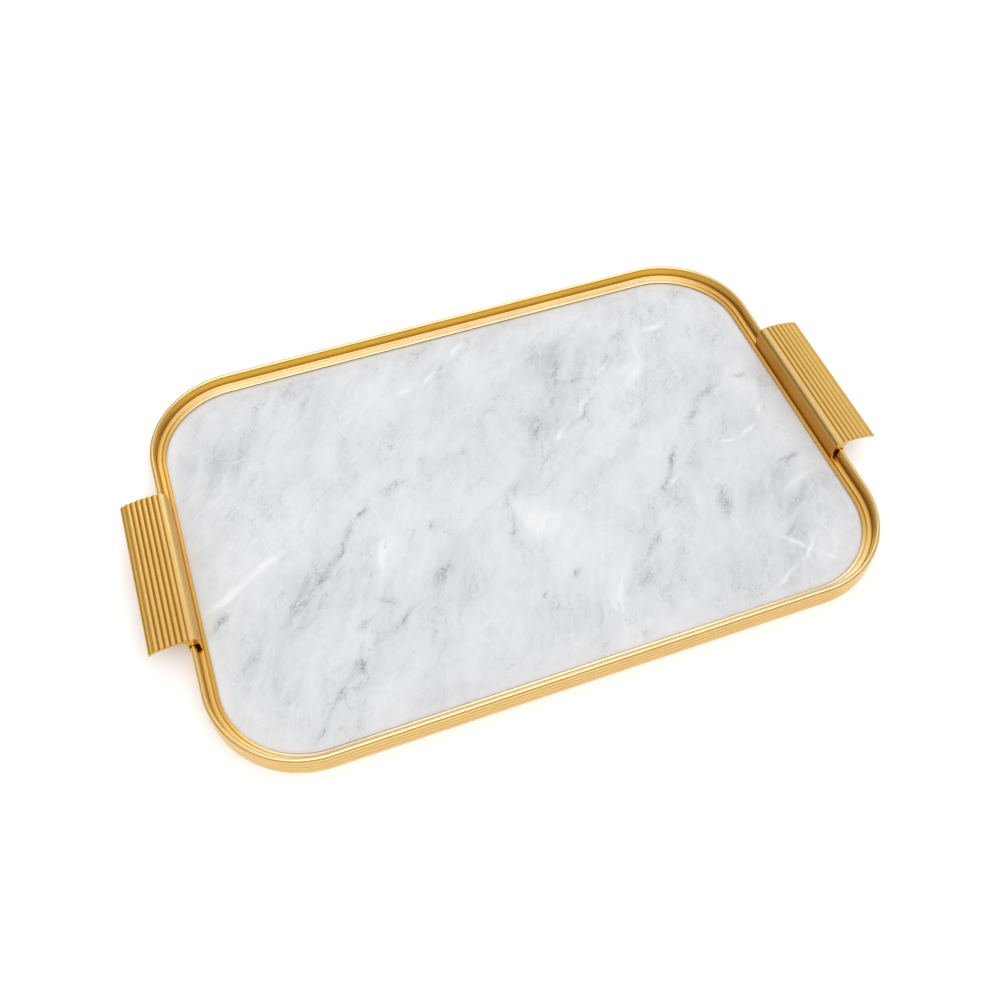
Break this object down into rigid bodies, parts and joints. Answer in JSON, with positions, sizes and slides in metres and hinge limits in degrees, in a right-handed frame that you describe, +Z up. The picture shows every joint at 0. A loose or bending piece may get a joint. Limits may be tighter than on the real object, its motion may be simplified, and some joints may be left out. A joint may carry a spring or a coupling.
{
  "type": "vanity tray",
  "caption": "Rounded rectangular marble-faced tray in a fluted gold metal rim, with a ribbed wing handle clipped over the rim at each short end.",
  "frame": {"origin": "centre of the rim's resting plane, under the middle of the tray", "axes": "+X along the tray from one handle to the other, +Y across it, +Z up out of the tray"},
  "size_m": [0.505, 0.3088, 0.0252],
  "materials": {
    "gold_rim": "satin gold anodised, grain along the strip",
    "gold_handle": "satin gold anodised, grain along the bar",
    "key_metal": "mill finish",
    "rivet_metal": "gold anodised",
    "marble": "light grey marble face, semi-gloss",
    "core": "brown fibreboard",
    "backing": "matt dark laminate"
  },
  "bodies": {
    "root": {"rim_front": "gold_rim", "rim_back": "gold_rim", "joiner_key_left": "key_metal", "joiner_key_right": "key_metal", "marble_laminate": "marble", "core_board": "core", "backing_laminate": "backing", "handle_left": "gold_handle", "handle_right": "gold_handle", "handle_rivets_left": "rivet_metal", "handle_rivets_right": "rivet_metal"}
  },
  "joints": []
}
